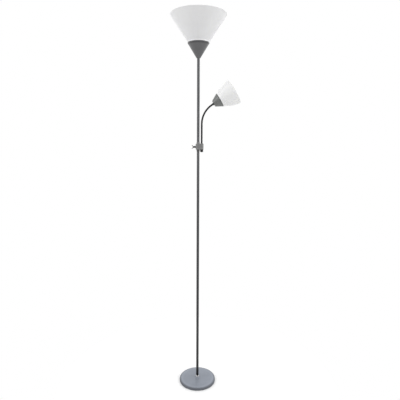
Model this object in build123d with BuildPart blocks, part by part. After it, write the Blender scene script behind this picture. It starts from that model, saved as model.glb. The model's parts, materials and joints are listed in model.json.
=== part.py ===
from build123d import *
from dataclasses import dataclass
import math
import os

# Torchiere floor lamp with a reading light on a flexible gooseneck.
# Millimetres. Z is up, X points from the pole to the reading light, and the origin is the
# centre of the base on the floor.

os.makedirs("parts", exist_ok=True)

# ------------------------------------------------------------------ fits and clearances
seat_clearance = 0.05       # radial, a tube or thread in its seat, same body
running_clearance = 0.05    # radial, a shaft that turns in its hole
facing_gap = 0.1            # between flat faces that slide on each other
loose_gap = 0.3             # between pieces that only lie in each other

# ------------------------------------------------------------------ base
base_radius = 91.0
base_rim_height = 12.0      # top of the rounded edge
base_edge_radius = 5.0
base_crown_height = 16.0    # top of the shallow dome, where the hub begins
base_crown_bulge = 0.9
base_sheet = 1.0
base_lift = 1.0             # lower edge of the pressed cover above the floor
base_roll_radius = 1.2      # rolled lower edge of the cover
hub_radius = 15.0
hub_top_radius = 11.0
hub_height = 20.0
pad_radius = 85.0
pad_thickness = 2.0
recess_radius = 19.0        # pocket under the weight for the washers and the nut
recess_depth = 8.0
cord_notch_width = 9.0
cord_notch_height = 8.0
cord_radius = 2.6
cord_bushing_length = 5.0
collar_radius = 9.6
collar_height = 5.0
collar_shoulder = 1.5       # straight part of the collar, below its dome
collar_rim = 0.8

# ------------------------------------------------------------------ pole
tube_radius = 6.35
tube_wall = 1.4
tube_edge = 0.3             # chamfer at both ends, which shows where lengths meet
lower_tube_count = 3
pole_thread_length = 20.0   # how far each nipple reaches into a tube
lead_bore_radius = 3.5
bracket_bottom = 1183.0
lamp_height = 1780.0

# ------------------------------------------------------------------ threads and nuts
thread_radius = tube_radius - tube_wall - seat_clearance
nut_flats = 14.0
nut_height = 3.5
base_nut_height = 5.0
washer_height = 1.2
base_washer_radius = 16.0
lock_washer_radius = 9.0
thread_chamfer = 0.4

# ------------------------------------------------------------------ bracket
bracket_height = 28.0
bracket_radius = 11.5       # round end about the pole
bracket_lobe_radius = 8.8   # round end about the gooseneck
bracket_wall = 2.0
bracket_floor = 3.0
bracket_edge = 1.4
bracket_neck_wall = 1.45    # about the tube, where the neck leaves the case
bracket_neck_tip_wall = 0.95
bracket_neck_length = 8.0
bracket_screw_radius = 1.25
bracket_screw_reach = 6.0   # thread length in the front half
bracket_screw_head_radius = 2.2
bracket_screw_head_height = 1.1
bracket_screw_slot = 0.7     # width and depth of the driver's slot
bracket_boss_radius = 2.05

# ------------------------------------------------------------------ rotary switch
switch_size = (14.0, 12.0, 11.0)
switch_height = 1195.5      # height of the turning axis
switch_boss_radius = 5.6
switch_boss_length = 0.9    # how far the flat boss stands out of the round end
switch_bushing_radius = 3.9
switch_nut_radius = 5.2
switch_nut_height = 1.6
switch_shaft_radius = 2.0
switch_rotor_radius = 4.4
switch_rotor_height = 3.0
switch_edge = 1.2
switch_nut_edge = 0.5
key_hub_radius = 4.3
key_hub_length = 5.0
key_collar_length = 4.5     # round part of the hub
key_thickness = 4.0
key_edge = 0.8              # rounding of the blade's edges
key_waist = 3.6             # half width where the wings begin
key_span = 8.4              # half width over the wing tips
key_length = 15.5
key_notch = 5.0             # depth of the hollow between the wing tips
key_tip = 2.6               # width of each wing's rounded end
key_tip_rounding = 1.95     # arc radius of that end
key_notch_curve = 3.9       # depth of the hollow half way to the wing tips

# ------------------------------------------------------------------ gooseneck
reader_offset = 16.5        # from the pole axis to the gooseneck axis at the bracket
neck_radius = 4.0
neck_valley_radius = 3.45
neck_bore_radius = 2.3
neck_rib_count = 56
neck_straight = 90.0        # visible straight run above the bracket
neck_bend_radius = 104.6
reader_rise = 31.5          # degrees from level to the reading light's axis
neck_foot_depth = 14.0      # plain end held in the ferrule
neck_head_depth = 10.0
ferrule_radius = 5.0
ferrule_flange_radius = 6.3
ferrule_flange_height = 2.0
ferrule_stand = 1.0         # how far the ferrule shows above the bracket
neck_nut_flats = 12.4
neck_nut_height = 11.0
neck_nut_skin = 1.6
neck_washer_radius = 6.4
neck_washer_height = 0.8
reader_collar_step = 0.7    # how far the collar stands out of its thread
reader_collar_length = 7.0

# ------------------------------------------------------------------ inside the lamp sockets
shell_lift = 3.5            # foot of the screw shell above the socket's floor
contact_height = 2.1
contact_shoulder = 1.75     # height at which the contact's crown begins
contact_slope = 1.2


# ------------------------------------------------------------------ the two lights
reader_collar_radius = thread_radius + reader_collar_step


@dataclass
class Light:
    """One light: a conical cup, a lamp socket in it and a shade clamped by a ring.

    Heights run along the light's own axis from the cup's tip.
    """

    name: str
    tip_radius: float
    cup_radius: float           # at the cup's rim
    cup_length: float
    cup_wall: float
    cup_lip: float              # height of the plain band at the rim
    cup_step: float             # how far that band stands out of the cone
    seat_radius: float          # of the tube or collar that enters the tip
    seat_depth: float
    floor: float
    socket_radius: float
    socket_taper: float         # chamfer at the socket's foot
    shoulder_radius: float      # flange of the socket that the shade sits on
    shoulder_height: float
    cap_radius: float           # the lamp's screw cap
    cap_depth: float
    screw_shell: float          # sheet of the brass screw shell
    contact_radius: float
    ring_radius: float
    ring_height: float
    ring_grips: int             # finger hollows around the ring
    grip_radius: float
    shade_foot_radius: float
    shade_foot_height: float
    shade_radius: float         # at the open rim
    shade_length: float
    shade_wall: float           # measured square to the light's axis
    shade_bulge: float          # rise of the curved side over its chord, 0 for a plain cone
    shade_bead: float           # radius of the rim's rounded bead


top_light = Light(
    name="top",
    tip_radius=9.0,
    cup_radius=48.5,
    cup_length=66.0,
    cup_wall=2.0,
    cup_lip=4.0,
    cup_step=0.7,
    seat_radius=tube_radius,
    seat_depth=8.0,
    floor=3.0,
    socket_radius=19.0,
    socket_taper=6.0,
    shoulder_radius=23.0,
    shoulder_height=3.0,
    cap_radius=13.3,
    cap_depth=30.0,
    screw_shell=0.6,
    contact_radius=6.0,
    ring_radius=26.0,
    ring_height=8.0,
    ring_grips=12,
    grip_radius=2.1,
    shade_foot_radius=50.0,
    shade_foot_height=5.0,
    shade_radius=127.0,
    shade_length=120.0,
    shade_wall=2.6,
    shade_bulge=0.0,
    shade_bead=1.6,
)
reader_light = Light(
    name="reader",
    tip_radius=14.8,
    cup_radius=32.6,
    cup_length=33.3,
    cup_wall=2.0,
    cup_lip=2.5,
    cup_step=0.4,
    seat_radius=reader_collar_radius,
    seat_depth=1.5,
    floor=3.0,
    socket_radius=13.0,
    socket_taper=3.0,
    shoulder_radius=16.0,
    shoulder_height=2.5,
    cap_radius=6.95,
    cap_depth=22.0,
    screw_shell=0.5,
    contact_radius=3.2,
    ring_radius=18.0,
    ring_height=6.0,
    ring_grips=10,
    grip_radius=1.45,
    shade_foot_radius=34.4,
    shade_foot_height=4.5,
    shade_radius=60.5,
    shade_length=75.5,
    shade_wall=2.2,
    shade_bulge=4.5,
    shade_bead=1.2,
)

# ------------------------------------------------------------------ worked out from the above
tube_bore = tube_radius - tube_wall
thread_bore = thread_radius + seat_clearance
tube_seat = tube_radius + seat_clearance
bracket_neck_radius = tube_radius + bracket_neck_wall
bracket_neck_tip_radius = tube_radius + bracket_neck_tip_wall
top_tip = lamp_height - top_light.cup_length - top_light.shade_length
top_tube_end = top_tip + top_light.seat_depth
bracket_top = bracket_bottom + bracket_height
lower_tube_length = (bracket_bottom - hub_height) / lower_tube_count
bracket_floor_top = bracket_bottom + bracket_floor
bracket_roof = bracket_top - bracket_floor
pole_place = Plane.XY
neck_place = Plane((reader_offset, 0, 0))
neck_turn = 90.0 - reader_rise
neck_arc_length = neck_bend_radius * math.radians(neck_turn)
neck_visible = neck_straight + neck_arc_length


# ------------------------------------------------------------------ helpers
def keep(builder, name):
    """Label a finished piece and write its file."""
    builder.part.label = name
    export_step(builder.part, f"parts/{name}.step")


def half_plane(place):
    """The plane for an outline of (radius, height) points that is turned about the place's Z."""
    return Plane(origin=place.origin, x_dir=place.x_dir, z_dir=place.y_dir * -1)


def turning_axis(place):
    return Axis(place.origin, place.z_dir)


def turned(place, points, mode=Mode.ADD):
    """Turn a closed outline of (radius, height) points about the place's Z axis."""
    with BuildSketch(half_plane(place)) as outline:
        with BuildLine():
            Polyline(*points, close=True)
        make_face()
    revolve(outline.sketch, axis=turning_axis(place), mode=mode)


def ring(place, outer, inner, low, high, mode=Mode.ADD):
    """A plain sleeve, washer or tube about the place's Z axis."""
    turned(place, [(inner, low), (outer, low), (outer, high), (inner, high)], mode)


def hex_nut(place, flats, bore, low, height):
    with BuildSketch(place.offset(low)) as outline:
        RegularPolygon(radius=flats / 2, side_count=6, major_radius=False)
        Circle(bore, mode=Mode.SUBTRACT)
    extrude(outline.sketch, amount=height)


# ------------------------------------------------------------------ base
def base_solid(inset, mode=Mode.ADD):
    """The base cover's outer form, or the same form this far inside it."""
    corner = base_radius - base_edge_radius
    edge = base_edge_radius - inset
    crown = (hub_radius, base_crown_height - inset)
    with BuildSketch(half_plane(pole_place)) as outline:
        with BuildLine():
            Line((0, base_lift), (base_radius - inset, base_lift))
            Line(
                (base_radius - inset, base_lift),
                (base_radius - inset, base_rim_height - base_edge_radius),
            )
            CenterArc((corner, base_rim_height - base_edge_radius), edge, 0, 90)
            SagittaArc((corner, base_rim_height - inset), crown, -base_crown_bulge)
            Line(crown, (hub_top_radius, hub_height - inset))
            Line((hub_top_radius, hub_height - inset), (0, hub_height - inset))
            Line((0, hub_height - inset), (0, base_lift))
        make_face()
    revolve(outline.sketch, axis=Axis.Z, mode=mode)


with BuildPart() as base_shell:
    base_solid(0)
    base_solid(base_sheet, Mode.SUBTRACT)
    with BuildSketch(half_plane(pole_place)):
        with Locations((base_radius - base_roll_radius, base_lift + base_roll_radius)):
            Circle(base_roll_radius)
    revolve(axis=Axis.Z)
    with Locations((0, 0, hub_height - base_sheet)):
        Cylinder(thread_bore, 3 * base_sheet, mode=Mode.SUBTRACT)
    with Locations((0, base_radius, base_lift)):
        Box(cord_notch_width, 6 * base_roll_radius, 2 * cord_notch_height, mode=Mode.SUBTRACT)
keep(base_shell, "base_shell")

recess_top = pad_thickness + recess_depth
weight_radius = base_radius - 2 * base_roll_radius - loose_gap
roll_top = base_lift + 2 * base_roll_radius + loose_gap
with BuildPart() as base_weight:
    base_solid(base_sheet + loose_gap)
    ring(pole_place, base_radius, weight_radius, 0, roll_top, Mode.SUBTRACT)
    ring(pole_place, base_radius, 0, 0, pad_thickness, Mode.SUBTRACT)
    ring(pole_place, recess_radius, 0, pad_thickness, recess_top, Mode.SUBTRACT)
    ring(pole_place, thread_bore, 0, pad_thickness, hub_height, Mode.SUBTRACT)
    with Locations((0, base_radius / 2, pad_thickness)):
        Box(
            cord_notch_width + 2 * loose_gap,
            base_radius,
            2 * (cord_notch_height + loose_gap),
            mode=Mode.SUBTRACT,
        )
keep(base_weight, "base_weight")

with BuildPart() as base_pad:
    ring(pole_place, pad_radius, 0, 0, pad_thickness)
keep(base_pad, "base_pad")

with BuildPart() as cord_bushing:
    bushing_back = base_radius + base_sheet
    bushing_half = cord_notch_width / 2 - seat_clearance
    bushing_top = base_lift + cord_notch_height - seat_clearance
    cord_axis_height = pad_thickness + cord_radius
    with BuildSketch(Plane.XZ.offset(-bushing_back)):
        with BuildLine():
            Line((-bushing_half, base_lift), (bushing_half, base_lift))
            Line((bushing_half, base_lift), (bushing_half, bushing_top))
            Line((bushing_half, bushing_top), (-bushing_half, bushing_top))
            Line((-bushing_half, bushing_top), (-bushing_half, base_lift))
        make_face()
        with Locations((0, cord_axis_height)):
            Circle(cord_radius, mode=Mode.SUBTRACT)
    extrude(amount=cord_bushing_length)
keep(cord_bushing, "cord_bushing")

with BuildPart() as base_washer:
    ring(pole_place, base_washer_radius, thread_bore, recess_top - washer_height, recess_top)
keep(base_washer, "base_washer")

lock_washer_top = recess_top - washer_height
with BuildPart() as base_lock_washer:
    ring(
        pole_place,
        lock_washer_radius,
        thread_bore,
        lock_washer_top - washer_height,
        lock_washer_top,
    )
    with Locations((lock_washer_radius, 0, lock_washer_top)):
        Box(lock_washer_radius, washer_height, 3 * washer_height, mode=Mode.SUBTRACT)
keep(base_lock_washer, "base_lock_washer")

base_nut_top = lock_washer_top - washer_height
with BuildPart() as base_nut:
    hex_nut(pole_place, nut_flats, thread_bore, base_nut_top - base_nut_height, base_nut_height)
keep(base_nut, "base_nut")

with BuildPart() as pole_foot_collar:
    collar_top = hub_height + collar_height
    with BuildSketch(half_plane(pole_place)):
        with BuildLine():
            Line((tube_seat, hub_height), (collar_radius, hub_height))
            side = Line((collar_radius, hub_height), (collar_radius, hub_height + collar_shoulder))
            TangentArc(side @ 1, (tube_radius + collar_rim, collar_top), tangent=side % 1)
            Line((tube_radius + collar_rim, collar_top), (tube_seat, collar_top))
            Line((tube_seat, collar_top), (tube_seat, hub_height))
        make_face()
    revolve(axis=Axis.Z)
keep(pole_foot_collar, "pole_foot_collar")


# ------------------------------------------------------------------ pole
def nipple(name, low, high):
    """A threaded tube that joins two pieces end to end, bored for the wires."""
    with BuildPart() as piece:
        ring(pole_place, thread_radius, lead_bore_radius, low, high)
        chamfer(piece.edges().filter_by(GeomType.CIRCLE).group_by(Axis.Z)[0], thread_chamfer)
        chamfer(piece.edges().filter_by(GeomType.CIRCLE).group_by(Axis.Z)[-1], thread_chamfer)
    keep(piece, name)


def pole_tube(name, low, high):
    with BuildPart() as piece:
        ring(pole_place, tube_radius, tube_bore, low, high)
        chamfer(piece.edges().filter_by(GeomType.CIRCLE), tube_edge)
    keep(piece, name)


nipple("base_nipple", pad_thickness + loose_gap, hub_height + pole_thread_length)
tube_names = ["pole_tube_lower", "pole_tube_middle", "pole_tube_upper"]
for index, tube_name in enumerate(tube_names):
    tube_low = hub_height + index * lower_tube_length
    pole_tube(tube_name, tube_low, tube_low + lower_tube_length)
for index in range(1, lower_tube_count):
    joint_height = hub_height + index * lower_tube_length
    nipple(
        f"pole_coupling_{index}",
        joint_height - pole_thread_length,
        joint_height + pole_thread_length,
    )
pole_tube("pole_tube_top", bracket_top, top_tube_end)
nipple(
    "bracket_lower_nipple",
    bracket_bottom - pole_thread_length,
    bracket_floor_top + nut_height,
)
nipple("bracket_upper_nipple", bracket_roof - nut_height, bracket_top + pole_thread_length)

# ------------------------------------------------------------------ bracket
boss_face = bracket_radius + switch_boss_length
screw_x = (switch_size[0] / 2 + reader_offset - ferrule_radius) / 2
screw_heights = [
    bracket_floor_top + ferrule_flange_height + loose_gap + bracket_boss_radius,
    bracket_roof - loose_gap - bracket_boss_radius,
]
screw_places = [
    Plane((screw_x, 0, height), x_dir=(1, 0, 0), z_dir=(0, 1, 0)) for height in screw_heights
]
taper_sine = (bracket_radius - bracket_lobe_radius) / reader_offset
bracket_side = (bracket_radius - screw_x * taper_sine) / math.sqrt(1 - taper_sine**2)
screw_seat = bracket_side - bracket_screw_head_height
boss_reach = bracket_side - bracket_wall / 2
bracket_seam = Plane.XZ
switch_axis_place = Plane(origin=(0, 0, switch_height), x_dir=(0, 1, 0), z_dir=(-1, 0, 0))


def bracket_outline(place, inset):
    """Plan of the bracket: one round end about the pole and one about the gooseneck."""
    with BuildSketch(place) as outline:
        Circle(bracket_radius - inset)
        with Locations((reader_offset, 0)):
            Circle(bracket_lobe_radius - inset)
        make_hull()
    return outline.sketch


def bracket_half(keep_side):
    """One half of the bracket case, split on the plane through both axes."""
    with BuildPart() as piece:
        extrude(bracket_outline(Plane.XY.offset(bracket_bottom), 0), amount=bracket_height)
        chamfer(piece.faces().sort_by(Axis.Z)[0].edges(), bracket_edge)
        chamfer(piece.faces().sort_by(Axis.Z)[-1].edges(), bracket_edge)
        for foot, tip in (
            (bracket_bottom + bracket_edge, bracket_bottom - bracket_neck_length),
            (bracket_top - bracket_edge, bracket_top + bracket_neck_length),
        ):
            turned(
                pole_place,
                [(0, foot), (bracket_neck_radius, foot), (bracket_neck_tip_radius, tip), (0, tip)],
            )
        ring(switch_axis_place, switch_boss_radius, 0, bracket_radius / 2, boss_face)
        extrude(
            bracket_outline(Plane.XY.offset(bracket_floor_top), bracket_wall),
            amount=bracket_height - 2 * bracket_floor,
            mode=Mode.SUBTRACT,
        )
        for place in screw_places:
            ring(place, bracket_boss_radius, 0, -boss_reach, boss_reach)
            ring(place, bracket_screw_radius, 0, -bracket_screw_reach, screw_seat, Mode.SUBTRACT)
            ring(
                place,
                bracket_screw_head_radius + seat_clearance,
                0,
                screw_seat,
                bracket_radius,
                Mode.SUBTRACT,
            )
        for low in (bracket_bottom - bracket_neck_length, bracket_top):
            ring(pole_place, tube_seat, 0, low, low + bracket_neck_length, Mode.SUBTRACT)
        ring(pole_place, thread_bore, 0, bracket_bottom, bracket_top, Mode.SUBTRACT)
        ring(
            neck_place,
            ferrule_radius + running_clearance,
            0,
            bracket_bottom,
            bracket_top,
            Mode.SUBTRACT,
        )
        ring(
            switch_axis_place,
            switch_bushing_radius + seat_clearance,
            0,
            switch_size[0] / 2,
            boss_face,
            Mode.SUBTRACT,
        )
        split(bisect_by=bracket_seam, keep=keep_side)
    return piece


keep(bracket_half(Keep.TOP), "bracket_front")
keep(bracket_half(Keep.BOTTOM), "bracket_back")

with BuildPart() as bracket_screws:
    for place in screw_places:
        turned(
            place,
            [
                (0, -bracket_screw_reach),
                (bracket_screw_radius - seat_clearance, -bracket_screw_reach),
                (bracket_screw_radius - seat_clearance, screw_seat),
                (bracket_screw_head_radius, screw_seat),
                (bracket_screw_head_radius, screw_seat + bracket_screw_head_height / 2),
                (bracket_screw_head_radius / 2, screw_seat + bracket_screw_head_height),
                (0, screw_seat + bracket_screw_head_height),
            ],
        )
        with Locations(place.offset(screw_seat + bracket_screw_head_height)):
            Box(
                2 * bracket_screw_head_radius,
                bracket_screw_slot,
                2 * bracket_screw_slot,
                mode=Mode.SUBTRACT,
            )
keep(bracket_screws, "bracket_screws")

with BuildPart() as bracket_nuts:
    for low in (bracket_floor_top, bracket_roof - nut_height):
        hex_nut(pole_place.rotated((0, 0, 30)), nut_flats, thread_bore, low, nut_height)
keep(bracket_nuts, "bracket_nuts")

# ------------------------------------------------------------------ rotary switch and its key
switch_nut_end = boss_face + switch_nut_height
rotor_low = -switch_rotor_height / 2
rotor_high = switch_rotor_height / 2
key_start = switch_nut_end + 4 * facing_gap
key_plane = Plane((0, 0, switch_height), x_dir=(-1, 0, 0), z_dir=(0, 1, 0))

with BuildPart() as switch_body:
    with Locations((0, 0, switch_height)):
        Box(*switch_size)
    fillet(switch_body.edges().filter_by(Axis.X), switch_edge)
    ring(switch_axis_place, switch_bushing_radius, 0, switch_size[0] / 2, switch_nut_end)
    ring(
        switch_axis_place,
        switch_shaft_radius + running_clearance,
        0,
        rotor_low,
        switch_nut_end,
        Mode.SUBTRACT,
    )
    ring(
        switch_axis_place,
        switch_rotor_radius + running_clearance,
        0,
        rotor_low - facing_gap,
        rotor_high + facing_gap,
        Mode.SUBTRACT,
    )
keep(switch_body, "switch_body")

with BuildPart() as switch_nut:
    ring(
        switch_axis_place,
        switch_nut_radius,
        switch_bushing_radius + seat_clearance,
        boss_face,
        switch_nut_end,
    )
    nut_face = switch_nut.faces().sort_by(Axis.X)[0]
    chamfer(nut_face.edges().sort_by(SortBy.LENGTH)[-1], switch_nut_edge)
keep(switch_nut, "switch_nut")

with BuildPart() as switch_shaft:
    turned(
        switch_axis_place,
        [
            (0, rotor_low),
            (switch_rotor_radius, rotor_low),
            (switch_rotor_radius, rotor_high),
            (switch_shaft_radius, rotor_high),
            (switch_shaft_radius, key_start + key_hub_length),
            (0, key_start + key_hub_length),
        ],
    )
keep(switch_shaft, "switch_shaft")

with BuildPart() as switch_key:
    key_end = key_start + key_length
    waist_end = key_start + key_hub_length
    blade_start = key_start + key_hub_length / 2
    with BuildSketch(key_plane):
        with BuildLine():
            Line((blade_start, 0), (blade_start, key_waist))
            edge = Line((blade_start, key_waist), (waist_end, key_waist))
            flare = TangentArc(edge @ 1, (key_end - key_tip, key_span), tangent=edge % 1)
            tip = RadiusArc(flare @ 1, (key_end, key_span - key_tip), key_tip_rounding)
            ThreePointArc(
                tip @ 1,
                (key_end - key_notch_curve, (key_span - key_tip) / 2),
                (key_end - key_notch, 0),
            )
            mirror(about=Plane.XZ)
        make_face()
    extrude(amount=key_thickness / 2, both=True)
    blade_faces = switch_key.faces().group_by(Axis.Y)
    fillet(blade_faces[0].edges() + blade_faces[-1].edges(), key_edge)
    ring(switch_axis_place, key_hub_radius, 0, key_start, key_start + key_collar_length)
    ring(
        switch_axis_place,
        switch_shaft_radius + seat_clearance,
        0,
        key_start,
        waist_end + seat_clearance,
        Mode.SUBTRACT,
    )
keep(switch_key, "switch_key")


# ------------------------------------------------------------------ gooseneck
def neck_plane(distance):
    """Plane square to the gooseneck's centre line, this far along it from the bracket's top."""
    turn = min(max(distance - neck_straight, 0), neck_arc_length) / neck_bend_radius
    direction = Vector(math.sin(turn), 0, math.cos(turn))
    end_of_arc = Vector(
        reader_offset + neck_bend_radius * (1 - math.cos(turn)),
        0,
        bracket_top + min(distance, neck_straight) + neck_bend_radius * math.sin(turn),
    )
    straight_end = max(distance - neck_visible, 0)
    return Plane(end_of_arc + direction * straight_end, x_dir=(0, 1, 0), z_dir=direction)


def neck_sections(stations):
    """One circle for each (distance, radius) along the gooseneck."""
    sections = []
    for distance, radius in stations:
        with BuildSketch(neck_plane(distance)) as section:
            Circle(radius)
        sections.append(section.sketch.face())
    return sections


rib_pitch = neck_visible / neck_rib_count
# One rib: share of the pitch, radius there.
rib_shape = [
    (0.1, neck_valley_radius),
    (0.35, neck_radius),
    (0.75, neck_radius),
    (1.0, neck_valley_radius),
]
neck_outside = [(-neck_foot_depth, neck_radius), (0, neck_radius)]
for index in range(neck_rib_count):
    neck_outside += [((index + share) * rib_pitch, radius) for share, radius in rib_shape]
neck_outside.append((neck_visible + rib_shape[0][0] * rib_pitch, neck_radius))
neck_outside.append((neck_visible + neck_head_depth, neck_radius))
bore_steps = 14
neck_bore = [(-neck_foot_depth, neck_bore_radius), (neck_straight, neck_bore_radius)]
for step in range(1, bore_steps + 1):
    neck_bore.append((neck_straight + neck_arc_length * step / bore_steps, neck_bore_radius))
neck_bore.append((neck_visible + neck_head_depth, neck_bore_radius))

with BuildPart() as gooseneck:
    loft(neck_sections(neck_outside), ruled=True)
    loft(neck_sections(neck_bore), ruled=True, mode=Mode.SUBTRACT)
keep(gooseneck, "gooseneck")

ferrule_top = bracket_top + ferrule_stand
flange_low = bracket_floor_top + facing_gap
neck_washer_top = bracket_bottom - facing_gap
neck_nut_top = neck_washer_top - neck_washer_height
neck_nut_low = neck_nut_top - neck_nut_height
ferrule_bottom = neck_nut_low + neck_nut_skin + loose_gap
with BuildPart() as gooseneck_ferrule:
    turned(
        neck_place,
        [
            (neck_bore_radius, ferrule_bottom),
            (ferrule_radius, ferrule_bottom),
            (ferrule_radius, flange_low),
            (ferrule_flange_radius, flange_low),
            (ferrule_flange_radius, flange_low + ferrule_flange_height),
            (ferrule_radius, flange_low + ferrule_flange_height),
            (ferrule_radius, ferrule_top),
            (neck_radius + seat_clearance, ferrule_top),
            (neck_radius + seat_clearance, bracket_top - neck_foot_depth),
            (neck_bore_radius, bracket_top - neck_foot_depth),
        ],
    )
keep(gooseneck_ferrule, "gooseneck_ferrule")

with BuildPart() as gooseneck_washer:
    ring(
        neck_place,
        neck_washer_radius,
        ferrule_radius + seat_clearance,
        neck_nut_top,
        neck_washer_top,
    )
keep(gooseneck_washer, "gooseneck_washer")

with BuildPart() as gooseneck_nut:
    hex_nut(
        neck_place,
        neck_nut_flats,
        ferrule_radius + seat_clearance,
        neck_nut_low,
        neck_nut_height,
    )
    ring(neck_place, ferrule_radius + 2 * seat_clearance, 0, neck_nut_low, neck_nut_low + neck_nut_skin)
    dome = neck_nut_flats / 2
    turned(
        neck_place,
        [
            (dome - 2 * neck_nut_skin, neck_nut_low),
            (2 * dome, neck_nut_low),
            (2 * dome, neck_nut_low + 3 * neck_nut_skin),
        ],
        Mode.SUBTRACT,
    )
keep(gooseneck_nut, "gooseneck_nut")


# ------------------------------------------------------------------ the two lights
def shade_form(light, place, inset, mode=Mode.ADD):
    """The shade's outer form from its seat to its rim, or the same form this far inside it."""
    seat = light.cup_length + inset
    foot_top = light.cup_length + light.shade_foot_height
    rim = light.cup_length + light.shade_length - light.shade_bead
    foot = light.shade_foot_radius - inset
    with BuildSketch(half_plane(place)) as outline:
        with BuildLine():
            Polyline((0, rim), (0, seat), (foot, seat), (foot, foot_top))
            if light.shade_bulge:
                SagittaArc((foot, foot_top), (light.shade_radius - inset, rim), -light.shade_bulge)
            else:
                Line((foot, foot_top), (light.shade_radius - inset, rim))
            Line((light.shade_radius - inset, rim), (0, rim))
        make_face()
    revolve(outline.sketch, axis=turning_axis(place), mode=mode)


def build_light(light, place):
    """Every piece of one light, on a place whose Z runs out of the cup.

    Returns the height at which the thread that carries the socket ends.
    """
    lip_radius = light.cup_radius - light.cup_step
    lip_low = light.cup_length - light.cup_lip
    cone_slope = (lip_radius - light.tip_radius) / lip_low
    floor_top = light.seat_depth + light.floor
    floor_radius = light.tip_radius + floor_top * cone_slope - light.cup_wall
    socket_foot = floor_top + nut_height + 2 * loose_gap
    thread_end = socket_foot + 2 * nut_height
    flange_top = light.cup_length + light.shade_wall
    ring_top = flange_top + light.ring_height
    socket_top = ring_top + light.shade_wall
    cap_floor = socket_top - light.cap_depth
    shell_radius = light.cap_radius + light.screw_shell

    with BuildPart() as holder:
        turned(
            place,
            [
                (light.seat_radius + seat_clearance, 0),
                (light.tip_radius, 0),
                (lip_radius, lip_low),
                (light.cup_radius, lip_low),
                (light.cup_radius, light.cup_length),
                (light.cup_radius - light.cup_wall, light.cup_length),
                (lip_radius - light.cup_wall, lip_low),
                (floor_radius, floor_top),
                (thread_bore, floor_top),
                (thread_bore, light.seat_depth),
                (light.seat_radius + seat_clearance, light.seat_depth),
            ],
        )
    keep(holder, f"{light.name}_holder")

    with BuildPart() as nut:
        hex_nut(place, nut_flats, thread_bore, floor_top, nut_height)
    keep(nut, f"{light.name}_holder_nut")

    with BuildPart() as socket:
        turned(
            place,
            [
                (thread_bore, socket_foot),
                (light.socket_radius - light.socket_taper, socket_foot),
                (light.socket_radius, socket_foot + light.socket_taper),
                (light.socket_radius, light.cup_length - light.shoulder_height),
                (light.shoulder_radius, light.cup_length - light.shoulder_height),
                (light.shoulder_radius, light.cup_length),
                (light.socket_radius, light.cup_length),
                (light.socket_radius, socket_top),
                (shell_radius + seat_clearance, socket_top),
                (shell_radius + seat_clearance, cap_floor),
                (0, cap_floor),
                (0, thread_end),
                (thread_bore, thread_end),
            ],
        )
    keep(socket, f"{light.name}_socket")

    with BuildPart() as screw_shell:
        ring(
            place,
            shell_radius,
            light.cap_radius,
            cap_floor + shell_lift,
            socket_top - light.screw_shell,
        )
    keep(screw_shell, f"{light.name}_screw_shell")

    with BuildPart() as contact:
        turned(
            place,
            [
                (0, cap_floor),
                (light.contact_radius, cap_floor),
                (light.contact_radius - contact_slope, cap_floor + contact_shoulder),
                (0, cap_floor + contact_height),
            ],
        )
    keep(contact, f"{light.name}_contact")

    with BuildPart() as shade:
        shade_form(light, place, 0)
        shade_form(light, place, light.shade_wall, Mode.SUBTRACT)
        ring(
            place,
            light.socket_radius + seat_clearance,
            0,
            light.cup_length,
            flange_top,
            Mode.SUBTRACT,
        )
        with BuildSketch(half_plane(place)) as bead:
            with Locations(
                (
                    light.shade_radius - light.shade_bead,
                    light.cup_length + light.shade_length - light.shade_bead,
                )
            ):
                Circle(light.shade_bead)
        revolve(bead.sketch, axis=turning_axis(place))
    keep(shade, f"{light.name}_shade")

    with BuildPart() as shade_ring:
        ring(place, light.ring_radius, light.socket_radius + seat_clearance, flange_top, ring_top)
        with BuildSketch(place.offset(flange_top)) as grips:
            with PolarLocations(light.ring_radius, light.ring_grips):
                Circle(light.grip_radius)
        extrude(grips.sketch, amount=light.ring_height, mode=Mode.SUBTRACT)
    keep(shade_ring, f"{light.name}_shade_ring")
    return thread_end


top_thread_end = build_light(top_light, pole_place.offset(top_tip))
nipple("top_nipple", top_tube_end - pole_thread_length, top_tip + top_thread_end)

reader_seat = neck_plane(neck_visible)
reader_place = neck_plane(neck_visible + reader_collar_length - reader_light.seat_depth)
reader_thread_end = build_light(reader_light, reader_place)
with BuildPart() as reader_ferrule:
    shank_low = reader_collar_length
    shank_high = reader_collar_length - reader_light.seat_depth + reader_thread_end
    turned(
        reader_seat,
        [
            (neck_radius + seat_clearance, 0),
            (reader_collar_radius, 0),
            (reader_collar_radius, shank_low),
            (thread_radius, shank_low),
            (thread_radius, shank_high),
            (neck_bore_radius, shank_high),
            (neck_bore_radius, neck_head_depth),
            (neck_radius + seat_clearance, neck_head_depth),
        ],
    )
keep(reader_ferrule, "reader_ferrule")
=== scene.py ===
"""Looks of a torchiere floor lamp with a reading light. Metres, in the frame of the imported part."""

import json
import math
from dataclasses import dataclass

import bpy
from mathutils import Matrix, Vector


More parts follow.
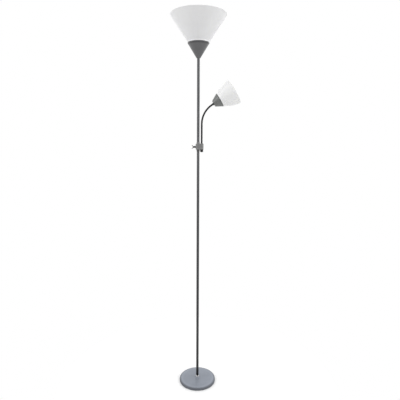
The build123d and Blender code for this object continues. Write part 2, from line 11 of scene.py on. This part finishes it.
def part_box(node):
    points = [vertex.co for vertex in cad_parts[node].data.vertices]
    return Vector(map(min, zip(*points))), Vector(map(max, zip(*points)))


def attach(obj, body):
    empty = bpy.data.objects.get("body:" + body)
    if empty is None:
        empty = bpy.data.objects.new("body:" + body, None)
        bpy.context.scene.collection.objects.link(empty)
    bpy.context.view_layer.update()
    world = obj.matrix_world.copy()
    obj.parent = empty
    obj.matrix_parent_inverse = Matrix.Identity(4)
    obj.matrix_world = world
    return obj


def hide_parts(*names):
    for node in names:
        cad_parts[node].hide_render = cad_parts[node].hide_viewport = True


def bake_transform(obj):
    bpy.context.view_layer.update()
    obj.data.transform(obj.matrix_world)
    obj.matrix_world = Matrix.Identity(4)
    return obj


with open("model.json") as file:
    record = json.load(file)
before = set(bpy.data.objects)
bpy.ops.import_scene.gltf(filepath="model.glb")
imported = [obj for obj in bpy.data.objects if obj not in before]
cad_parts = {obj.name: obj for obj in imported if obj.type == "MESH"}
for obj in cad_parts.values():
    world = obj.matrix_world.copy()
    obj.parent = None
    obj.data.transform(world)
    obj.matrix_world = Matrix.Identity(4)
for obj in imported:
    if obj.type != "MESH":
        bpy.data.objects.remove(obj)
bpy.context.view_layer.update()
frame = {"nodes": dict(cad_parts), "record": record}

# ------------------------------------------------------------------ gooseneck
NECK_X = 0.0165                 # axis of its straight run, from the pole's axis
CASE_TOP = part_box("pole_tube_top")[0].z         # of the bracket, where the turns begin
NECK_RADIUS = 0.004             # of its plain ends
NECK_CROWN = 0.0044             # of the turns between them
NECK_VALLEY = 0.0036            # of the grooves between the turns
NECK_BORE = 0.0023
NECK_STRAIGHT = 0.090           # visible straight run above the bracket
NECK_BEND_RADIUS = 0.1046
NECK_FOOT = 0.014               # plain end inside the swivelling ferrule
NECK_HEAD = 0.010               # plain end inside the reading light's ferrule
NECK_TURNS = 84                 # of wire, from one plain end to the other
CROWN_POWER = 0.6               # below 1 the crowns are broad and the grooves narrow
COIL_STEPS = 6                  # rows of vertices in one turn
COIL_SIDES = 24

# ------------------------------------------------------------------ reading light, along its axis
READER_RISE = math.radians(31.5)        # from level to its axis
READER_COLLAR = 0.0055          # from the gooseneck's end to the tip of the cup
READER_SHELL = 0.0252           # from the cup's tip to the foot of the screw shell
READER_CUP_LENGTH = 0.0333
READER_SHADE_LENGTH = 0.0755
READER_AXIS = Vector((math.cos(READER_RISE), 0, math.sin(READER_RISE)))
NECK_TURN = math.pi / 2 - READER_RISE
NECK_VISIBLE = NECK_STRAIGHT + NECK_BEND_RADIUS * NECK_TURN


# ------------------------------------------------------------------ painted shade and highlights
# Each stop is (height in metres, share of the colour that is left there); the lists paint shade and
# highlights into the colours by height.
def cup_painted_shade(foot, rim, band, fade, foot_share=1.0):
    """Full colour up the cone, then a band of painted shade of this height below the rim; the foot
    keeps foot_share of the colour.
    """
    rim_shade = 0.62
    return [(foot, foot_share), (rim - band - fade, 1.0), (rim - band, rim_shade), (rim, rim_shade)]


def shade_painted_highlight(foot, rim, collar, rim_share):
    """Painted highlight: full colour on the collar at the shade's foot, a little darker above it."""
    fade = 0.002
    above = 0.93
    return [(foot, 1.0), (foot + collar, 1.0), (foot + collar + fade, above), (rim, rim_share)]


BASE_RIM = 0.012                # top of the base's rounded edge
# Painted shade on the base's rounded edge, darker up to its top, and a painted highlight in a lighter
# ring just inside it.
BASE_PAINTED_SHADE_AND_HIGHLIGHT = [
    (0.0, 0.43),
    (BASE_RIM - 0.0008, 0.41),
    (BASE_RIM + 0.0001, 0.66),
    (BASE_RIM + 0.0005, 1.0),
    (BASE_RIM + 0.0016, 0.88),
    (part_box("base_shell")[1].z, 0.88),
]
# Painted shade: the pole's colour darker towards the floor.
POLE_PAINTED_SHADE = [
    (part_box("pole_tube_lower")[0].z, 0.16),
    (0.40, 0.42),
    (0.85, 0.80),
    (1.15, 1.0),
    (1.70, 1.0),
]
CASTING_FOOT, CASTING_TOP = (corner.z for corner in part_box("bracket_front"))
CASE_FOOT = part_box("pole_tube_upper")[1].z      # underside of the case, above its lower neck
# Painted shadow on the bracket's underside and lower neck, and a painted highlight in a lighter line
# just above the case's lower edge.
BRACKET_PAINTED_SHADE_AND_HIGHLIGHT = [
    (CASTING_FOOT, 0.35),
    (CASE_FOOT + 0.0008, 0.40),
    (CASE_FOOT + 0.0022, 1.0),
    (CASE_FOOT + 0.0055, 1.0),
    (CASE_FOOT + 0.0065, 0.88),
    (CASTING_TOP, 0.88),
]
# Painted shade in a dark band below each cup's rim; the reading light's cup is also darker towards
# its tip.
CUP_FOOT, CUP_RIM = (corner.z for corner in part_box("top_holder"))
SHADE_FOOT, SHADE_RIM = (corner.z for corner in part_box("top_shade"))
CUP_PAINTED_SHADE = cup_painted_shade(CUP_FOOT, CUP_RIM, band=0.0065, fade=0.0035)
# Painted highlight on each shade's collar, just above the cup's rim, the rest a little darker.
SHADE_PAINTED_HIGHLIGHT = shade_painted_highlight(SHADE_FOOT, SHADE_RIM, collar=0.0045, rim_share=0.95)
READER_CUP_PAINTED_SHADE = cup_painted_shade(0.0, READER_CUP_LENGTH, band=0.0028, fade=0.002, foot_share=0.88)
READER_SHADE_PAINTED_HIGHLIGHT = shade_painted_highlight(
    READER_CUP_LENGTH, READER_CUP_LENGTH + READER_SHADE_LENGTH, collar=0.0042, rim_share=0.93
)

# ------------------------------------------------------------------ stage, light and camera
FLOOR_RADIUS = 0.7
FLOOR_SIDES = 96
LOW_LIGHT = 0.70                # strength of the surroundings straight below
HIGH_LIGHT = 1.05               # the same straight above
UPWARD = (-0.3, 0.7)            # Z of the direction, over which one becomes the other
BACK_LIGHT = 0.25               # what is added straight behind the lamp
BACKWARD = (0.1, 0.9)           # Y of the direction, over which it comes in
STRIP = (0.25, 2.2)             # width and height of the two upright lights
CAMERA_PLACE = (0.0098, -1.792, 1.228)
CAMERA_TILT = math.radians(9.03)        # down from level
CAMERA_ROLL = math.radians(0.25)
FOCAL_PIXELS = 377.8
FRAME_PIXELS = 400
SENSOR_WIDTH = 36.0             # millimetres


# ------------------------------------------------------------------ material building blocks
MIX_FACTOR, MIX_FIRST, MIX_SECOND = 0, 6, 7     # inputs of a Mix node that mixes colours
MIX_RESULT = 2                  # its output


def new_node(tree, kind, **values):
    node = tree.nodes.new(kind)
    for key, value in values.items():
        setattr(node, key, value)
    return node


class Recipe:
    """Node tree of one material, with short calls for the nodes that the recipes share.

    A place is the (location, rotation) of a piece whose own Z axis isn't the world's.
    """

    def __init__(self, name, place=None):
        self.material = bpy.data.materials.new(name)
        self.material.use_nodes = True
        self.tree = self.material.node_tree
        self.tree.nodes.clear()
        self.shader = self.add("ShaderNodeBsdfPrincipled")
        output = self.add("ShaderNodeOutputMaterial")
        self.link(self.shader.outputs["BSDF"], output.inputs["Surface"])
        self.where = self.add("ShaderNodeTexCoord").outputs["Object"]
        if place:
            turn = self.add("ShaderNodeMapping", vector_type="TEXTURE")
            turn.inputs["Location"].default_value = place[0]
            turn.inputs["Rotation"].default_value = place[1]
            self.link(self.where, turn.inputs["Vector"])
            self.where = turn.outputs["Vector"]
        self.normal = None

    def add(self, kind, **values):
        return new_node(self.tree, kind, **values)

    def link(self, source, target):
        self.tree.links.new(source, target)

    def set(self, **values):
        """Constants on the shader's own sockets."""
        for key, value in values.items():
            self.shader.inputs[key.replace("_", " ")].default_value = value

    def stretched(self, scale):
        node = self.add("ShaderNodeMapping")
        node.inputs["Scale"].default_value = scale
        self.link(self.where, node.inputs["Vector"])
        return node.outputs["Vector"]

    def noise(self, scale, detail=3.0, roughness=0.5, stretch=(1, 1, 1), distortion=0.0):
        """Noise of this many grains in a metre; a stretch below 1 draws the grains out."""
        node = self.add("ShaderNodeTexNoise")
        node.inputs["Scale"].default_value = scale
        node.inputs["Detail"].default_value = detail
        node.inputs["Roughness"].default_value = roughness
        node.inputs["Distortion"].default_value = distortion
        self.link(self.stretched(stretch), node.inputs["Vector"])
        return node.outputs[0]

    def rings(self, pitch):
        """Fine lines around the piece's own Z axis, as turning on a lathe or spinning leaves."""
        return self.noise(1 / pitch, detail=2.0, stretch=(0.02, 0.02, 1))

    def flakes(self, share):
        """Where the paint's metal flakes lie, each up to this share of a full fleck."""
        return self.remap(self.noise(5200, detail=1), 0, share, 0.45, 0.8)

    def with_painted_light(self, colour, stops):
        """Paints shade and highlights into the colour: lighter or darker by (height on the piece's
        own Z, share) stops.
        """
        parts = self.add("ShaderNodeSeparateXYZ")
        self.link(self.where, parts.inputs[0])
        low, high = stops[0][0], stops[-1][0]
        ramp = self.add("ShaderNodeValToRGB")
        self.link(self.remap(parts.outputs["Z"], 0, 1, low, high), ramp.inputs[0])
        elements = ramp.color_ramp.elements
        elements[0].color = grey(stops[0][1])
        elements[-1].color = grey(stops[-1][1])
        for height, share in stops[1:-1]:
            elements.new((height - low) / (high - low)).color = grey(share)
        node = self.add("ShaderNodeMix", data_type="RGBA", blend_type="MULTIPLY")
        node.inputs[MIX_FACTOR].default_value = 1.0
        self.link(colour, node.inputs[MIX_FIRST])
        self.link(ramp.outputs[0], node.inputs[MIX_SECOND])
        return node.outputs[MIX_RESULT]

    def remap(self, value, low, high, from_low=0.3, from_high=0.7):
        """Spreads a value over low to high; noise mostly lies between 0.3 and 0.7."""
        node = self.add("ShaderNodeMapRange")
        node.inputs["From Min"].default_value = from_low
        node.inputs["From Max"].default_value = from_high
        node.inputs["To Min"].default_value = low
        node.inputs["To Max"].default_value = high
        self.link(value, node.inputs["Value"])
        return node.outputs["Result"]

    def mix(self, factor, first, second):
        """From the first to the second, each a colour or a socket that gives one."""
        node = self.add("ShaderNodeMix", data_type="RGBA")
        self.link(factor, node.inputs[MIX_FACTOR])
        for index, colour in ((MIX_FIRST, first), (MIX_SECOND, second)):
            if isinstance(colour, bpy.types.NodeSocket):
                self.link(colour, node.inputs[index])
            else:
                node.inputs[index].default_value = (*colour, 1)
        return node.outputs[MIX_RESULT]

    def colour(self, source):
        self.link(source, self.shader.inputs["Base Color"])

    def roughness(self, source):
        self.link(source, self.shader.inputs["Roughness"])

    def bump(self, height, depth):
        """Adds relief of this depth in metres, on top of any relief there is."""
        node = self.add("ShaderNodeBump")
        node.inputs["Distance"].default_value = depth
        self.link(height, node.inputs["Height"])
        if self.normal:
            self.link(self.normal, node.inputs["Normal"])
        self.normal = node.outputs["Normal"]
        self.link(self.normal, self.shader.inputs["Normal"])


def grey(share):
    return (share, share, share, 1)


def shaded(colour, share):
    return tuple(min(channel * share, 1.0) for channel in colour)


def enamel(
    name, colour, roughness, fleck=0.10, place=None, lines=None, coat=0.25, painted_light=None
):
    """Sprayed paint with metal flakes: soft mottling, fine flecks and a slight orange peel.

    Lines is the pitch of the turning marks that show through it.
    """
    recipe = Recipe(name, place)
    mottled = recipe.mix(
        recipe.remap(recipe.noise(14, detail=4), 0, 1),
        shaded(colour, 0.94),
        shaded(colour, 1.06),
    )
    painted = recipe.mix(recipe.flakes(fleck), mottled, shaded(colour, 1.9))
    # Painted shade and highlights by height, where given.
    if painted_light:
        painted = recipe.with_painted_light(painted, painted_light)
    recipe.colour(painted)
    recipe.roughness(
        recipe.remap(recipe.noise(60, detail=5), roughness * 0.85, roughness * 1.15)
    )
    recipe.bump(recipe.noise(900, detail=1.5), 0.00003)
    if lines:
        recipe.bump(recipe.rings(lines), 0.000012)
    recipe.set(Metallic=0.35, Coat_Weight=coat, Coat_Roughness=0.22)
    return recipe.material


def tube_enamel(name, colour, painted_light):
    """Glossy metallic paint on a drawn tube, with faint lines along it."""
    recipe = Recipe(name)
    along = recipe.noise(1500, detail=2, stretch=(1, 1, 0.01))
    drawn = recipe.mix(recipe.remap(along, 0, 1), shaded(colour, 0.9), shaded(colour, 1.1))
    painted = recipe.mix(recipe.flakes(0.12), drawn, shaded(colour, 1.8))
    # Painted shade by height.
    recipe.colour(recipe.with_painted_light(painted, painted_light))
    recipe.roughness(recipe.remap(recipe.noise(30, detail=5, stretch=(1, 1, 0.1)), 0.26, 0.36))
    recipe.bump(along, 0.000006)
    recipe.bump(recipe.noise(700, detail=1.5), 0.00002)
    recipe.set(Metallic=0.8, Coat_Weight=0.2, Coat_Roughness=0.15)
    return recipe.material


def bright_steel(name):
    """Zinc-plated steel, slightly clouded."""
    recipe = Recipe(name)
    cloud = recipe.remap(recipe.noise(220, detail=5, distortion=0.6), 0, 1)
    recipe.colour(recipe.mix(cloud, (0.44, 0.44, 0.43), (0.62, 0.62, 0.60)))
    recipe.roughness(recipe.remap(recipe.noise(500, detail=4), 0.24, 0.42))
    recipe.bump(recipe.rings(0.0006), 0.00001)
    recipe.set(Metallic=1.0)
    return recipe.material


def polished_steel(name):
    """Chrome-plated trim with faint turning marks and a few dull spots."""
    recipe = Recipe(name)
    spots = recipe.remap(recipe.noise(320, detail=5), 0, 1, 0.55, 0.8)
    recipe.colour(recipe.mix(spots, (0.50, 0.50, 0.51), (0.22, 0.22, 0.23)))
    recipe.roughness(recipe.remap(recipe.noise(260, detail=4), 0.07, 0.20))
    recipe.bump(recipe.rings(0.0004), 0.000005)
    recipe.set(Metallic=1.0)
    return recipe.material


def brass(name):
    """Stamped brass with a little tarnish."""
    recipe = Recipe(name)
    tarnish = recipe.remap(recipe.noise(160, detail=6, distortion=0.8), 0, 1, 0.4, 0.75)
    recipe.colour(recipe.mix(tarnish, (0.74, 0.53, 0.22), (0.40, 0.26, 0.11)))
    recipe.roughness(recipe.remap(recipe.noise(300, detail=4), 0.22, 0.40))
    recipe.bump(recipe.rings(0.0004), 0.000008)
    recipe.set(Metallic=1.0)
    return recipe.material


def cast_iron(name):
    """Rough casting with patches of rust."""
    recipe = Recipe(name)
    rust = recipe.remap(recipe.noise(45, detail=7), 0, 0.7, 0.52, 0.72)
    recipe.colour(recipe.mix(rust, (0.035, 0.034, 0.034), (0.11, 0.052, 0.028)))
    recipe.roughness(recipe.remap(recipe.noise(300), 0.62, 0.85))
    recipe.bump(recipe.noise(420, detail=6, roughness=0.65), 0.0004)
    recipe.set(Metallic=0.4)
    return recipe.material


def rubber(name, colour):
    """Dull rubber, dusty in patches."""
    recipe = Recipe(name)
    dust = recipe.remap(recipe.noise(90, detail=6), 0, 0.35, 0.45, 0.8)
    recipe.colour(recipe.mix(dust, colour, shaded(colour, 2.2)))
    recipe.roughness(recipe.remap(recipe.noise(700), 0.68, 0.86))
    recipe.bump(recipe.noise(1800, detail=3), 0.00006)
    recipe.set(Sheen_Weight=0.15)
    return recipe.material


def moulded(name, colour, roughness, grain):
    """Moulded plastic with the fine spark-eroded grain of its tool, of this depth."""
    recipe = Recipe(name)
    flow = recipe.remap(recipe.noise(25, detail=3, distortion=1.2), 0, 1)
    recipe.colour(recipe.mix(flow, shaded(colour, 0.93), shaded(colour, 1.07)))
    recipe.roughness(recipe.remap(recipe.noise(400, detail=4), roughness * 0.85, roughness * 1.15))
    recipe.bump(recipe.noise(2600, detail=2), grain)
    return recipe.material


def frosted_shade(name, colour, painted_light, place=None):
    """Translucent white plastic with a satin skin, faint flow marks and turned rings."""
    recipe = Recipe(name, place)
    flow = recipe.remap(recipe.noise(9, detail=3, stretch=(1, 1, 0.4), distortion=0.8), 0, 1)
    clouded = recipe.mix(flow, shaded(colour, 0.975), shaded(colour, 1.02))
    specks = recipe.remap(recipe.noise(2200, detail=2), 0, 0.06, 0.55, 0.85)
    # Painted highlight by height, on top of the specks.
    recipe.colour(recipe.with_painted_light(recipe.mix(specks, clouded, shaded(colour, 0.8)), painted_light))
    recipe.roughness(recipe.remap(recipe.noise(70, detail=5), 0.30, 0.42))
    recipe.bump(recipe.noise(1500, detail=2), 0.00002)
    recipe.bump(recipe.rings(0.0011), 0.000012)
    recipe.set(
        Subsurface_Weight=0.35,
        Subsurface_Radius=(0.006, 0.006, 0.0055),
        Subsurface_Scale=1.0,
        Coat_Weight=0.15,
        Coat_Roughness=0.2,
        Sheen_Weight=0.2,
        Sheen_Roughness=0.4,
    )
    return recipe.material


def wound_wire(name):
    """Black-coated wire: satin, with painted shade in the grooves between the turns and the crowns
    lighter.
    """
    recipe = Recipe(name)
    crown = recipe.add("ShaderNodeNewGeometry").outputs["Pointiness"]     # 0.5 where it is flat
    # Painted shade: darker where the surface is hollow, lighter where it bulges.
    groove_shade = recipe.remap(crown, 0, 1, 0.49, 0.56)
    recipe.colour(recipe.mix(groove_shade, (0.003, 0.003, 0.003), (0.022, 0.022, 0.023)))
    recipe.roughness(recipe.remap(recipe.noise(600, detail=4), 0.30, 0.48))
    recipe.bump(recipe.noise(2400, detail=2), 0.00002)
    recipe.set(Metallic=0.5, Coat_Weight=0.2, Coat_Roughness=0.3)
    return recipe.material


# ------------------------------------------------------------------ mesh building blocks
def mesh_object(name, vertices, faces, material):
    mesh = bpy.data.meshes.new(name)
    mesh.from_pydata(vertices, [], faces)
    mesh.validate()
    mesh.update()
    for polygon in mesh.polygons:
        polygon.use_smooth = True
    piece = bpy.data.objects.new(name, mesh)
    bpy.context.scene.collection.objects.link(piece)
    mesh.materials.append(material)
    return piece


def rows_to_faces(rows, sides):
    """Quads between rows of vertices that each go once round; the last row joins the first."""
    faces = []
    for row in range(rows):
        after = (row + 1) % rows
        for side in range(sides):
            beside = (side + 1) % sides
            faces.append(
                (
                    row * sides + side,
                    row * sides + beside,
                    after * sides + beside,
                    after * sides + side,
                )
            )
    return faces


# ------------------------------------------------------------------ gooseneck of wound wire
def neck_place(distance):
    """Point on the gooseneck's centre line and its direction, this far from the bracket's top."""
    turn = min(max(distance - NECK_STRAIGHT, 0), NECK_BEND_RADIUS * NECK_TURN) / NECK_BEND_RADIUS
    direction = Vector((math.sin(turn), 0, math.cos(turn)))
    point = Vector(
        (
            NECK_X + NECK_BEND_RADIUS * (1 - math.cos(turn)),
            0,
            CASE_TOP + min(distance, NECK_STRAIGHT) + NECK_BEND_RADIUS * math.sin(turn),
        )
    )
    return point + direction * max(distance - NECK_VISIBLE, 0), direction


def wire_radius(distance, angle):
    """Outside of the wound wire, one helix: a round crown for each turn, plain where it is held."""
    if distance < 0 or distance > NECK_VISIBLE:
        return NECK_RADIUS
    phase = distance / NECK_VISIBLE * NECK_TURNS - angle / math.tau
    crown = abs(math.sin(math.pi * phase)) ** CROWN_POWER
    return NECK_VALLEY + (NECK_CROWN - NECK_VALLEY) * crown


def neck_piece(name, low, high, material):
    """One stretch of the gooseneck as a closed tube with its bore."""
    step = NECK_VISIBLE / NECK_TURNS / COIL_STEPS
    count = max(round((high - low) / step), 1)
    distances = [low + (high - low) * index / count for index in range(count + 1)]
    side = Vector((0, 1, 0))
    vertices = []
    for bore in (False, True):
        for distance in reversed(distances) if bore else distances:
            point, direction = neck_place(distance)
            across = side.cross(direction)
            for index in range(COIL_SIDES):
                angle = math.tau * index / COIL_SIDES
                radius = NECK_BORE if bore else wire_radius(distance, angle)
                vertices.append(
                    point + (across * math.cos(angle) + side * math.sin(angle)) * radius
                )
    rows = 2 * len(distances)
    return mesh_object(name, vertices, rows_to_faces(rows, COIL_SIDES), material)


def build_gooseneck():
    """Two stretches of the gooseneck that meet just below the arc."""
    material = wound_wire("wound_wire")
    split = NECK_STRAIGHT - NECK_RADIUS
    lower = neck_piece("gooseneck_lower", -NECK_FOOT, split, material)
    upper = neck_piece("gooseneck_upper", split, NECK_VISIBLE + NECK_HEAD, material)
    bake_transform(lower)
    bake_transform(upper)
    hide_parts("gooseneck")
    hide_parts("gooseneck")


# ------------------------------------------------------------------ rolled threads in the sockets
@dataclass
class Thread:
    """Rolled thread of a socket's screw shell, in metres."""

    crest: float                # least radius inside
    root: float                 # greatest radius inside
    wall: float                 # of the sheet
    length: float
    pitch: float


TOP_THREAD = Thread(crest=0.0133, root=0.01362, wall=0.00028, length=0.0259, pitch=0.00363)
READER_THREAD = Thread(crest=0.00695, root=0.00722, wall=0.00023, length=0.018, pitch=0.0026)
THREAD_SIDES = 48
THREAD_STEPS = 8                # rows of vertices in one pitch


def rolled_shell(name, node, body, foot, axis, thread, material):
    """Screw shell with its rolled thread: a helical wave in thin sheet, open at both ends."""
    count = round(thread.length / thread.pitch * THREAD_STEPS)
    half_pitch = thread.pitch / 2
    turn = Vector((0, 0, 1)).rotation_difference(axis)
    vertices = []
    for outside in (False, True):
        for row in range(count + 1):
            share = row / count
            height = thread.length * (1 - share if outside else share)
            fade = min(height, thread.length - height, half_pitch) / half_pitch
            for index in range(THREAD_SIDES):
                angle = math.tau * index / THREAD_SIDES
                wave = 0.5 - 0.5 * math.cos(math.tau * (height / thread.pitch) - angle)
                radius = thread.crest + (thread.root - thread.crest) * wave * fade
                if outside:
                    radius += thread.wall
                local = Vector((radius * math.cos(angle), radius * math.sin(angle), height))
                vertices.append(foot + turn @ local)
    rows = 2 * (count + 1)
    faces = [face[::-1] for face in rows_to_faces(rows, THREAD_SIDES)]
    piece = mesh_object(name, vertices, faces, material)
    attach(piece, body)
    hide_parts(node)


def build_threads(material):
    rolled_shell(
        "top_socket_thread",
        "top_screw_shell",
        "stand",
        Vector((0, 0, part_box("top_screw_shell")[0].z)),
        Vector((0, 0, 1)),
        TOP_THREAD,
        material,
    )
    rolled_shell(
        "reader_socket_thread",
        "reader_screw_shell",
        "reading_head",
        neck_place(NECK_VISIBLE + READER_COLLAR + READER_SHELL)[0],
        READER_AXIS,
        READER_THREAD,
        material,
    )


# ------------------------------------------------------------------ materials on the CAD nodes
def dress(node, material):
    data = frame["nodes"][node].data
    data.materials.clear()
    data.materials.append(material)


def dress_all():
    """Gives each node the finish of its slot in the record, and returns the finishes."""
    reader_place = (neck_place(NECK_VISIBLE + READER_COLLAR)[0], (0, NECK_TURN, 0))
    finishes = {
        "base_enamel": enamel(
            "base_enamel",
            (0.250, 0.273, 0.318),
            roughness=0.48,
            lines=0.0009,
            coat=0.10,
            painted_light=BASE_PAINTED_SHADE_AND_HIGHLIGHT,
        ),
        "cast_weight": cast_iron("cast_weight"),
        "pad_rubber": rubber("pad_rubber", (0.018, 0.018, 0.018)),
        "black_rubber": rubber("black_rubber", (0.010, 0.010, 0.010)),
        "pole_enamel": tube_enamel("pole_enamel", (0.112, 0.114, 0.118), POLE_PAINTED_SHADE),
        "bright_steel": bright_steel("bright_steel"),
        "polished_steel": polished_steel("polished_steel"),
        "bracket_enamel": enamel(
            "bracket_enamel", (0.23, 0.23, 0.23), roughness=0.38, painted_light=BRACKET_PAINTED_SHADE_AND_HIGHLIGHT
        ),
        "black_plastic": moulded(
            "black_plastic", (0.008, 0.008, 0.008), roughness=0.42, grain=0.00003
        ),
        "neck_coating": enamel(
            "neck_coating", (0.012, 0.012, 0.012), roughness=0.40, fleck=0.04
        ),
        "cup_enamel": enamel(
            "cup_enamel", (0.135, 0.135, 0.139), roughness=0.36, lines=0.0005, painted_light=CUP_PAINTED_SHADE
        ),
        "grey_cup_enamel": enamel(
            "grey_cup_enamel",
            (0.175, 0.18, 0.176),
            roughness=0.36,
            place=reader_place,
            lines=0.0005,
            painted_light=READER_CUP_PAINTED_SHADE,
        ),
        "socket_plastic": moulded(
            "socket_plastic", (0.62, 0.60, 0.54), roughness=0.34, grain=0.00002
        ),
        "brass": brass("brass"),
        "pearl_shade": frosted_shade("pearl_shade", (0.80, 0.80, 0.81), SHADE_PAINTED_HIGHLIGHT),
        "white_shade": frosted_shade(
            "white_shade", (0.92, 0.92, 0.92), READER_SHADE_PAINTED_HIGHLIGHT, place=reader_place
        ),
        "white_plastic": moulded(
            "white_plastic", (0.70, 0.70, 0.69), roughness=0.36, grain=0.00002
        ),
    }
    for entry in frame["record"]["subparts"]:
        dress(entry["node"], finishes[entry["material_slot"]])
    return finishes


# ------------------------------------------------------------------ building the stage
def build_stage():
    """A disc of pale matt paper under the lamp."""
    angles = [math.tau * index / FLOOR_SIDES for index in range(FLOOR_SIDES)]
    rim = [Vector((math.cos(angle), math.sin(angle), 0)) * FLOOR_RADIUS for angle in angles]
    mesh = bpy.data.meshes.new("floor")
    mesh.from_pydata(rim, [], [tuple(range(FLOOR_SIDES))])
    floor = bpy.data.objects.new("floor", mesh)
    bpy.context.scene.collection.objects.link(floor)
    recipe = Recipe("floor_paper")
    grain = recipe.remap(recipe.noise(40, detail=4), 0, 1)
    recipe.colour(recipe.mix(grain, (0.86, 0.86, 0.86), (0.88, 0.88, 0.88)))
    recipe.set(Roughness=0.9)
    mesh.materials.append(recipe.material)


def area_light(name, place, target, size, power):
    data = bpy.data.lights.new(name, "AREA")
    data.shape = "RECTANGLE"
    data.size, data.size_y = size
    data.energy = power
    lamp = bpy.data.objects.new(name, data)
    lamp.location = place
    lamp.rotation_euler = (Vector(target) - Vector(place)).to_track_quat("-Z", "Y").to_euler()
    bpy.context.scene.collection.objects.link(lamp)


def build_world():
    """Plain white to the camera; as light it is dim below, brighter above and behind."""
    world = bpy.data.worlds.new("studio")
    world.use_nodes = True
    tree = world.node_tree
    tree.nodes.clear()

    def ramp(source, reach, low, high):
        node = new_node(tree, "ShaderNodeMapRange", interpolation_type="SMOOTHSTEP")
        for key, value in zip(("From Min", "From Max", "To Min", "To Max"), (*reach, low, high)):
            node.inputs[key].default_value = value
        tree.links.new(source, node.inputs["Value"])
        return node.outputs["Result"]

    direction = new_node(tree, "ShaderNodeSeparateXYZ")
    above = ramp(direction.outputs["Z"], UPWARD, LOW_LIGHT, HIGH_LIGHT)
    behind = ramp(direction.outputs["Y"], BACKWARD, 0.0, BACK_LIGHT)
    total = new_node(tree, "ShaderNodeMath", operation="ADD")
    lighting = new_node(tree, "ShaderNodeBackground")
    seen = new_node(tree, "ShaderNodeBackground")
    for background in (lighting, seen):
        background.inputs["Color"].default_value = grey(1)
    choose = new_node(tree, "ShaderNodeMixShader")
    place = new_node(tree, "ShaderNodeTexCoord").outputs["Generated"]
    camera_ray = new_node(tree, "ShaderNodeLightPath").outputs["Is Camera Ray"]
    surface = new_node(tree, "ShaderNodeOutputWorld").inputs["Surface"]
    for source, socket in (
        (place, direction.inputs[0]),
        (above, total.inputs[0]),
        (behind, total.inputs[1]),
        (total.outputs[0], lighting.inputs["Strength"]),
        (camera_ray, choose.inputs[0]),
        (lighting.outputs[0], choose.inputs[1]),
        (seen.outputs[0], choose.inputs[2]),
        (choose.outputs[0], surface),
    ):
        tree.links.new(source, socket)
    bpy.context.scene.world = world


def build_light():
    build_world()
    area_light("key", (2.2, -0.5, 2.0), target=(0, 0, 1.3), size=STRIP, power=13)
    area_light("fill", (-2.2, -0.6, 1.8), target=(0, 0, 1.2), size=STRIP, power=8)
    area_light("top", (0.0, -0.7, 3.4), target=(0, 0, 0.6), size=(1.8, 1.8), power=5)
    bpy.context.scene.view_settings.view_transform = "Standard"


def build_camera():
    """The photograph's viewpoint: 1.8 m in front, two thirds of the way up, tilted down."""
    data = bpy.data.cameras.new("camera")
    data.sensor_width = SENSOR_WIDTH
    data.lens = SENSOR_WIDTH * FOCAL_PIXELS / FRAME_PIXELS
    data.clip_start = 0.02
    data.clip_end = 100
    camera = bpy.data.objects.new("camera", data)
    camera.location = CAMERA_PLACE
    tilt = Matrix.Rotation(math.pi / 2 - CAMERA_TILT, 3, "X")
    roll = Matrix.Rotation(CAMERA_ROLL, 3, "Z")
    camera.rotation_euler = (tilt @ roll).to_euler()
    bpy.context.scene.collection.objects.link(camera)
    bpy.context.scene.camera = camera


build_camera()
build_light()
build_stage()
finishes = dress_all()
build_gooseneck()
build_threads(finishes["brass"])
